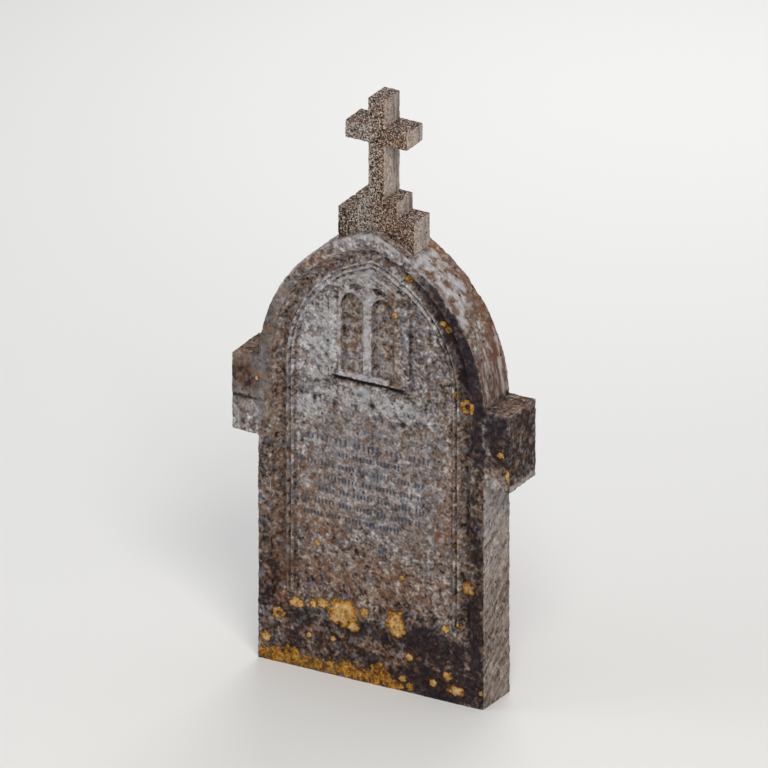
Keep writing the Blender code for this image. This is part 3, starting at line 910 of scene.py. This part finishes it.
mottled_stone, given, wanted = start_group(
    "mottled stone",
    {"Vector": None, "Size": 55.0, "Coarse": 0.8, "Lift": 0.0, "Spread": 1.0, "Brown": 0.3, "Shift": 0.0},
    {"Color": "NodeSocketColor", "Tone": "NodeSocketFloat"},
)
tone = None
for share, factor, detail in ((given["Coarse"], 0.42, 1.0), (1.5, 1.0, 1.0), (0.85, 2.2, 0.0), (0.3, 6.0, 0.0)):
    size = maths(mottled_stone, "MULTIPLY", given["Size"], factor)
    layer = noise(mottled_stone, given["Vector"], size, detail, 0.6, 0.0, given["Shift"])
    layer = maths(mottled_stone, "MULTIPLY", maths(mottled_stone, "SUBTRACT", layer, 0.5), share)
    tone = layer if tone is None else maths(mottled_stone, "ADD", tone, layer)
tone = maths(mottled_stone, "MULTIPLY_ADD", tone, given["Spread"], 0.5)
tone = maths(mottled_stone, "ADD", tone, given["Lift"], clamp=True)
grey = tone_ramp(mottled_stone, tone, GREYS)
earth = tone_ramp(mottled_stone, tone, BROWNS)
feed(mottled_stone, mix_colours(mottled_stone, given["Brown"], grey, earth), wanted["Color"])
feed(mottled_stone, tone, wanted["Tone"])
print("mottled stone has", len(mottled_stone.nodes), "nodes")

# %% Stone grains
stone_grains, given, wanted = start_group("stone grains", {"Vector": None, "Size": 300.0}, {"Offset": "NodeSocketFloat"})
cells = add_node(stone_grains, "ShaderNodeTexVoronoi", feature="F1")
feed(stone_grains, given["Vector"], cells.inputs["Vector"])
feed(stone_grains, given["Size"], cells.inputs["Scale"])
parts = add_node(stone_grains, "ShaderNodeSeparateColor")
feed(stone_grains, cells.outputs["Color"], parts.inputs["Color"])
feed(stone_grains, maths(stone_grains, "SUBTRACT", parts.outputs[2], 0.5), wanted["Offset"])

# %% Crust patches
crust_patches, given, wanted = start_group(
    "crust patches",
    {"Vector": None, "Size": 120.0, "Amount": 0.5, "Shift": 0.0, "Softness": 0.08},
    {"Mask": "NodeSocketFloat"},
)
grain = noise(crust_patches, given["Vector"], given["Size"], 2.0, 0.58, 0.3, given["Shift"])
level = maths(crust_patches, "MULTIPLY_ADD", grain, 3.2, -1.6)
level = maths(crust_patches, "ADD", level, maths(crust_patches, "MULTIPLY_ADD", given["Amount"], 1.6, -0.8))
softness = given["Softness"]
edge = smooth_step(crust_patches, level, maths(crust_patches, "MULTIPLY", softness, -1.0), softness)
feed(crust_patches, edge, wanted["Mask"])

# %% Pebbled crust
pebbled_crust, given, wanted = start_group(
    "pebbled crust",
    {"Vector": None, "Size": 75.0, "Amount": 0.5},
    {"Seams": "NodeSocketFloat", "Height": "NodeSocketFloat"},
)
wobble = add_node(pebbled_crust, "ShaderNodeTexNoise")
wobble.inputs["Scale"].default_value = 60.0
feed(pebbled_crust, given["Vector"], wobble.inputs["Vector"])
shift = add_node(pebbled_crust, "ShaderNodeVectorMath", operation="MULTIPLY_ADD")
feed(pebbled_crust, wobble.outputs["Color"], shift.inputs[0])
shift.inputs[1].default_value = (0.016, 0.016, 0.016)
feed(pebbled_crust, given["Vector"], shift.inputs[2])
cells = add_node(pebbled_crust, "ShaderNodeTexVoronoi", feature="DISTANCE_TO_EDGE")
feed(pebbled_crust, shift.outputs["Vector"], cells.inputs["Vector"])
feed(pebbled_crust, given["Size"], cells.inputs["Scale"])
seam = smooth_step(pebbled_crust, cells.outputs["Distance"], 0.22, 0.05)
gate = noise(pebbled_crust, given["Vector"], 38.0, 2.0, 0.6, 0.0, 8.0)
gate = maths(pebbled_crust, "ADD", maths(pebbled_crust, "MULTIPLY_ADD", gate, 3.0, -1.7), given["Amount"], clamp=True)
feed(pebbled_crust, maths(pebbled_crust, "MULTIPLY", seam, gate), wanted["Seams"])
dome = smooth_step(pebbled_crust, cells.outputs["Distance"], 0.0, 0.35)
feed(pebbled_crust, maths(pebbled_crust, "MULTIPLY", dome, gate), wanted["Height"])

# %% Small holes
small_holes, given, wanted = start_group(
    "small holes",
    {"Vector": None, "Size": 60.0, "Share": 0.25, "Width": 0.25},
    {"Mask": "NodeSocketFloat"},
)
cells = add_node(small_holes, "ShaderNodeTexVoronoi", feature="F1")
feed(small_holes, given["Vector"], cells.inputs["Vector"])
feed(small_holes, given["Size"], cells.inputs["Scale"])
chosen = add_node(small_holes, "ShaderNodeSeparateColor")
feed(small_holes, cells.outputs["Color"], chosen.inputs["Color"])
is_hole = maths(small_holes, "LESS_THAN", chosen.outputs[0], given["Share"])
width = maths(small_holes, "MULTIPLY", given["Width"], maths(small_holes, "MULTIPLY_ADD", chosen.outputs[1], 0.8, 0.6))
inside = smooth_step(small_holes, cells.outputs["Distance"], width, maths(small_holes, "MULTIPLY", width, 0.6))
feed(small_holes, maths(small_holes, "MULTIPLY", is_hole, inside), wanted["Mask"])

# %% Streaks
streaks, given, wanted = start_group(
    "streaks",
    {"Vector": None, "Size": 150.0, "Amount": 0.5, "Shift": 0.0},
    {"Mask": "NodeSocketFloat"},
)
grain = noise(streaks, given["Vector"], given["Size"], 2.0, 0.6, 0.0, given["Shift"])
level = maths(streaks, "MULTIPLY_ADD", grain, 3.0, -1.5)
level = maths(streaks, "ADD", level, maths(streaks, "MULTIPLY_ADD", given["Amount"], 1.4, -0.7))
feed(streaks, smooth_step(streaks, level, -0.25, 0.25), wanted["Mask"])

# %% Orange lichen
orange_lichen, given, wanted = start_group(
    "orange lichen",
    {"Vector": None, "Field": -1.0},
    {"Mask": "NodeSocketFloat", "Rim": "NodeSocketFloat", "Color": "NodeSocketColor", "Height": "NodeSocketFloat"},
)
ragged = noise(orange_lichen, given["Vector"], 70.0, 3.0, 0.6, 0.3)
level = maths(orange_lichen, "ADD", given["Field"], maths(orange_lichen, "MULTIPLY_ADD", ragged, 0.9, -0.42))
mask = smooth_step(orange_lichen, level, -0.06, 0.12)
rim = smooth_step(orange_lichen, level, -0.34, -0.04)
heart = smooth_step(orange_lichen, level, 0.12, 0.50)
feed(orange_lichen, rim, wanted["Rim"])
crumbs = noise(orange_lichen, given["Vector"], 170.0, 3.0, 0.65)
blotches = noise(orange_lichen, given["Vector"], 60.0, 2.0, 0.6, 0.5, 4.0)
tone = maths(orange_lichen, "MULTIPLY_ADD", crumbs, 1.7, -0.70)
tone = maths(orange_lichen, "MULTIPLY_ADD", smooth_step(orange_lichen, level, 0.0, 0.40), 0.24, tone)
tone = maths(orange_lichen, "ADD", tone, maths(orange_lichen, "MULTIPLY_ADD", blotches, 2.2, -0.98), clamp=True)
bright = tone_ramp(orange_lichen, tone, ((80, 54, 24), (134, 90, 30), (170, 120, 38), (192, 140, 50), (200, 156, 76)))
cream = tone_ramp(orange_lichen, tone, ((96, 66, 36), (148, 106, 58), (182, 142, 86), (200, 166, 116), (210, 186, 146)))
orange = mix_colours(orange_lichen, maths(orange_lichen, "MULTIPLY", heart, 0.92), bright, cream)
feed(orange_lichen, mask, wanted["Mask"])
feed(orange_lichen, orange, wanted["Color"])
feed(orange_lichen, maths(orange_lichen, "MULTIPLY", mask, maths(orange_lichen, "ADD", crumbs, 0.3)), wanted["Height"])


# %% [markdown]
# The slab's finish lays its layers one over the other, as they grew, with painted shade among them: mottled
# stone, dirt and rust, pale crusts, black crusts, holes, the dark strokes of the inscription, the painted
# shade under the sill and in the window's recesses, worn arrises, and last the orange lichens. The tone is
# also painted darker in hollows and grooves, as shade.


# %% Stone of the slab
def new_stone(name, roughness):
    material = bpy.data.materials.new(name)
    material.use_nodes = True
    tree = material.node_tree
    shader = tree.nodes["Principled BSDF"]
    shader.inputs["Roughness"].default_value = roughness
    shader.inputs["Specular IOR Level"].default_value = 0.2
    place = add_node(tree, "ShaderNodeTexCoord").outputs["Object"]
    return material, tree, shader, place


def stretched(tree, vector, scale, rotation=(0.0, 0.0, 0.0), kind="POINT"):
    node = add_node(tree, "ShaderNodeMapping", vector_type=kind)
    node.inputs["Scale"].default_value = scale
    node.inputs["Rotation"].default_value = rotation
    feed(tree, vector, node.inputs["Vector"])
    return node.outputs["Vector"]


def finish_relief(tree, shader, height, depth):
    bump = add_node(tree, "ShaderNodeBump")
    bump.inputs["Strength"].default_value = 0.9
    bump.inputs["Distance"].default_value = depth
    feed(tree, height, bump.inputs["Height"])
    feed(tree, bump.outputs["Normal"], shader.inputs["Normal"])


def weathered_finish(name, values):
    """A whole stone finish. values gives the sizes and amounts in which the two stones differ."""
    material, tree, shader, place = new_stone(name, 0.93)
    pale, dark, brown, rust = (attribute(tree, key) for key in ("pale", "dark", "brown", "rust"))
    wear, hollow_shade, ink = maths(tree, "MULTIPLY", attribute(tree, "wear"), attribute(tree, "worn")), attribute(tree, "hollow_shade"), attribute(tree, "ink")
    groove_shade, shade_and_pits, calm = attribute(tree, "groove_shade"), attribute(tree, "shade_and_pits"), attribute(tree, "calm")

    lift = maths(tree, "MULTIPLY_ADD", pale, values["pale lift"], values["lift"])
    lift = maths(tree, "ADD", lift, maths(tree, "MULTIPLY", dark, values["dark drop"]))
    lift = maths(tree, "ADD", lift, maths(tree, "MULTIPLY", brown, -0.04))
    # Painted shade: the tone is darker in broad hollows and in fine grooves.
    lift = maths(tree, "ADD", lift, maths(tree, "MULTIPLY", hollow_shade, -0.11))
    lift = maths(tree, "ADD", lift, maths(tree, "MULTIPLY", groove_shade, -0.11))
    lift = maths(tree, "ADD", lift, maths(tree, "MULTIPLY", attribute(tree, "tooling"), values["flank lift"]))
    patchy = noise(tree, place, 11.0, 2.0, 0.5)
    lift = maths(tree, "ADD", lift, maths(tree, "MULTIPLY_ADD", patchy, 0.24, -0.12))
    liveliness = maths(tree, "MULTIPLY_ADD", calm, -0.65, 1.0)
    spread = maths(tree, "MULTIPLY", maths(tree, "MULTIPLY_ADD", dark, -0.10, values["spread"]), liveliness)
    grains = use_group(tree, stone_grains, Vector=place, Size=values["grain size"])["Offset"]
    grains = maths(tree, "MULTIPLY", maths(tree, "MULTIPLY", grains, values["grain"]), liveliness)
    lift = maths(tree, "ADD", lift, grains)
    earthy = maths(tree, "MULTIPLY_ADD", brown, 0.85, 0.12)
    stone = use_group(tree, mottled_stone, Vector=place, Size=values["size"], Coarse=values["coarse"], Lift=lift, Spread=spread, Brown=earthy)
    colour = stone["Color"]
    hue = noise(tree, place, values["size"] * 0.65, 1.0, 0.6, 0.0, 41.0)
    bluish = smooth_step(tree, hue, 0.52, 0.68)
    colour = mix_colours(tree, maths(tree, "MULTIPLY", bluish, values["blue"]), colour, srgb(112, 114, 122))
    pinkish = smooth_step(tree, hue, 0.48, 0.32)
    pinkish = maths(tree, "MULTIPLY", pinkish, maths(tree, "MULTIPLY_ADD", pale, -0.7, 1.0))
    colour = mix_colours(tree, maths(tree, "MULTIPLY", pinkish, 0.45), colour, srgb(140, 112, 94))

    rusty = maths(tree, "ADD", maths(tree, "MULTIPLY_ADD", rust, 0.45, 0.06), maths(tree, "MULTIPLY", brown, 0.16))
    rusty = use_group(tree, crust_patches, Vector=place, Size=70.0, Amount=rusty, Shift=3.0, Softness=0.40)["Mask"]
    rust_tone = mix_colours(tree, noise(tree, place, 50.0, 1.0), srgb(84, 46, 30), srgb(150, 98, 66))
    colour = mix_colours(tree, maths(tree, "MULTIPLY", rusty, 0.68), colour, rust_tone)
    white_amount = maths(tree, "MULTIPLY_ADD", pale, values["white gain"], values["white"])
    whites = use_group(tree, crust_patches, Vector=place, Size=values["crust size"], Amount=white_amount, Shift=11.0, Softness=values["white edge"])["Mask"]
    white_tone = noise(tree, place, 110.0, 2.0, 0.6)
    white = mix_colours(tree, white_tone, values["white low"], values["white high"])
    colour = mix_colours(tree, maths(tree, "MULTIPLY", whites, 0.75), colour, white)
    pebbles = use_group(tree, pebbled_crust, Vector=place, Size=values["pebble size"], Amount=maths(tree, "MULTIPLY_ADD", maths(tree, "SUBTRACT", pale, calm), 0.75, -0.25))
    colour = mix_colours(tree, maths(tree, "MULTIPLY", pebbles["Seams"], 0.60), colour, srgb(62, 52, 47))
    black_amount = maths(tree, "MULTIPLY_ADD", dark, 0.90, -0.10)
    blacks = use_group(tree, crust_patches, Vector=place, Size=48.0, Amount=black_amount, Shift=17.0, Softness=0.35)["Mask"]
    black_tone = mix_colours(tree, brown, srgb(25, 22, 31), srgb(34, 22, 17))
    fading = smooth_step(tree, noise(tree, place, 74.0, 3.0, 0.65, 0.0, 21.0), 0.46, 0.72)
    black_tone = mix_colours(tree, maths(tree, "MULTIPLY", fading, 0.55), black_tone, srgb(88, 62, 54))
    colour = mix_colours(tree, maths(tree, "MULTIPLY", blacks, 0.88), colour, black_tone)

    flank = attribute(tree, "flank")
    blots = use_group(tree, crust_patches, Vector=place, Size=15.0, Amount=maths(tree, "MULTIPLY_ADD", flank, 0.72, -0.22), Shift=51.0, Softness=0.25)["Mask"]
    colour = mix_colours(tree, maths(tree, "MULTIPLY", blots, 0.85), colour, mix_colours(tree, white_tone, srgb(136, 130, 127), srgb(228, 227, 229)))
    ochre = use_group(tree, crust_patches, Vector=place, Size=28.0, Amount=maths(tree, "MULTIPLY_ADD", flank, 0.61, -0.18), Shift=57.0, Softness=0.25)["Mask"]
    colour = mix_colours(tree, maths(tree, "MULTIPLY", ochre, 0.85), colour, mix_colours(tree, hue, srgb(58, 38, 28), srgb(138, 98, 62)))
    run_place = stretched(tree, place, (1.0, 1.0, 0.10))
    drips = attribute(tree, "drips")
    rusty_drips = use_group(tree, streaks, Vector=run_place, Size=36.0, Amount=maths(tree, "MULTIPLY_ADD", drips, 0.85, -0.20), Shift=71.0)["Mask"]
    colour = mix_colours(tree, maths(tree, "MULTIPLY", rusty_drips, 0.75), colour, srgb(104, 68, 54))
    white_drips = use_group(tree, streaks, Vector=run_place, Size=42.0, Amount=maths(tree, "MULTIPLY_ADD", drips, 0.62, -0.20), Shift=78.0)["Mask"]
    colour = mix_colours(tree, maths(tree, "MULTIPLY", white_drips, 0.80), colour, srgb(192, 186, 180))
    runs = maths(tree, "MULTIPLY", attribute(tree, "runs"), maths(tree, "MULTIPLY_ADD", dark, -0.8, 1.0))
    pale_runs = use_group(tree, streaks, Vector=run_place, Size=110.0, Amount=maths(tree, "MULTIPLY_ADD", runs, 0.75, -0.14), Shift=5.0)["Mask"]
    colour = mix_colours(tree, maths(tree, "MULTIPLY", pale_runs, 0.70), colour, srgb(186, 180, 176))
    dark_runs = use_group(tree, streaks, Vector=run_place, Size=90.0, Amount=maths(tree, "MULTIPLY_ADD", runs, 0.55, -0.12), Shift=9.0)["Mask"]
    colour = mix_colours(tree, maths(tree, "MULTIPLY", dark_runs, 0.55), colour, srgb(84, 64, 52))

    tooled_place = stretched(tree, place, (1.0, 9.0, 1.0), (math.radians(36), 0.0, 0.0), "TEXTURE")
    tooling = attribute(tree, "tooling")
    tool_marks = use_group(tree, streaks, Vector=tooled_place, Size=70.0, Amount=0.5, Shift=2.0)["Mask"]
    tool_marks = maths(tree, "MULTIPLY", tool_marks, tooling)
    colour = mix_colours(tree, maths(tree, "MULTIPLY", tool_marks, values["tooled"]), colour, srgb(184, 172, 162))
    gaps = use_group(tree, streaks, Vector=tooled_place, Size=60.0, Amount=0.38, Shift=6.0)["Mask"]
    gaps = maths(tree, "MULTIPLY", maths(tree, "MULTIPLY", gaps, tooling), values["tooled"])
    colour = mix_colours(tree, gaps, colour, srgb(98, 76, 62))

    holes = use_group(tree, small_holes, Vector=place, Size=values["hole size"], Share=0.20, Width=0.22)["Mask"]
    colour = mix_colours(tree, maths(tree, "MULTIPLY", holes, 0.80), colour, srgb(32, 26, 24))
    inked = use_group(tree, crust_patches, Vector=place, Size=50.0, Amount=maths(tree, "MULTIPLY_ADD", ink, 1.6, -0.30), Shift=31.0, Softness=0.40)["Mask"]
    colour = mix_colours(tree, maths(tree, "MULTIPLY", inked, 0.62), colour, srgb(70, 75, 86))
    # Painted shade: the sill's shadow, the spots below it and the window's recesses are darkened towards near black
    # here.
    colour = mix_colours(tree, maths(tree, "MULTIPLY", shade_and_pits, 0.97, 0.0, clamp=True), colour, srgb(20, 15, 6))
    worn = use_group(tree, crust_patches, Vector=place, Size=60.0, Amount=maths(tree, "MULTIPLY_ADD", wear, 0.75, -0.05), Shift=23.0, Softness=0.3)["Mask"]
    colour = mix_colours(tree, maths(tree, "MULTIPLY", worn, values["worn"]), colour, srgb(176, 168, 160))
    colour = mix_colours(tree, 1.0, colour, values["tint"], "MULTIPLY")
    growth = use_group(tree, orange_lichen, Vector=place, Field=attribute(tree, "lichen"))
    colour = mix_colours(tree, maths(tree, "MULTIPLY", growth["Rim"], 0.55), colour, srgb(46, 36, 30))
    colour = mix_colours(tree, growth["Mask"], colour, growth["Color"])
    feed(tree, colour, shader.inputs["Base Color"])

    sand = noise(tree, place, 420.0, 3.0, 0.65)
    height = maths(tree, "MULTIPLY_ADD", sand, 0.35, maths(tree, "MULTIPLY", whites, 0.40))
    height = maths(tree, "ADD", height, maths(tree, "MULTIPLY", stone["Tone"], 0.7))
    height = maths(tree, "SUBTRACT", height, maths(tree, "MULTIPLY", holes, 1.2))
    height = maths(tree, "ADD", height, maths(tree, "MULTIPLY", tool_marks, 0.35))
    height = maths(tree, "ADD", height, maths(tree, "MULTIPLY", pebbles["Height"], 0.9))
    height = maths(tree, "ADD", height, growth["Height"])
    finish_relief(tree, shader, height, 0.0014)
    print(name, "has", len(tree.nodes), "nodes")
    return material


slab_finish = weathered_finish(
    "lichened slab",
    {
        "lift": 0.03,
        "grain": 0.13,
        "grain size": 850.0,
        "pale lift": 0.18,
        "dark drop": -0.38,
        "spread": 0.98,
        "size": 62.0,
        "coarse": 0.8,
        "flank lift": 0.08,
        "blue": 0.50,
        "tooled": 0.46,
        "pebble size": 72.0,
        "white": 0.05,
        "white edge": 0.30,
        "white gain": 0.52,
        "tint": srgb(255, 255, 255),
        "white low": srgb(138, 135, 135),
        "white high": srgb(206, 205, 208),
        "crust size": 62.0,
        "hole size": 56.0,
        "worn": 0.45,
    },
)
slab.data.materials.append(slab_finish)

# %% Stone of the cross
cross_finish = weathered_finish(
    "speckled cross",
    {
        "lift": -0.20,
        "grain": 1.70,
        "grain size": 330.0,
        "pale lift": 0.08,
        "dark drop": -0.14,
        "spread": 2.2,
        "size": 150.0,
        "coarse": 0.2,
        "flank lift": 0.62,
        "blue": 0.05,
        "tooled": 0.0,
        "pebble size": 220.0,
        "white": 0.06,
        "white edge": 0.12,
        "white gain": 0.42,
        "tint": srgb(255, 249, 243),
        "white low": srgb(166, 158, 150),
        "white high": srgb(240, 236, 230),
        "crust size": 215.0,
        "hole size": 150.0,
        "worn": 0.25,
    },
)
cross.data.materials.append(cross_finish)

# %% Placing the pieces
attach(slab, "root")
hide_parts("slab")
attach(cross, "root")
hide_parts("cross")
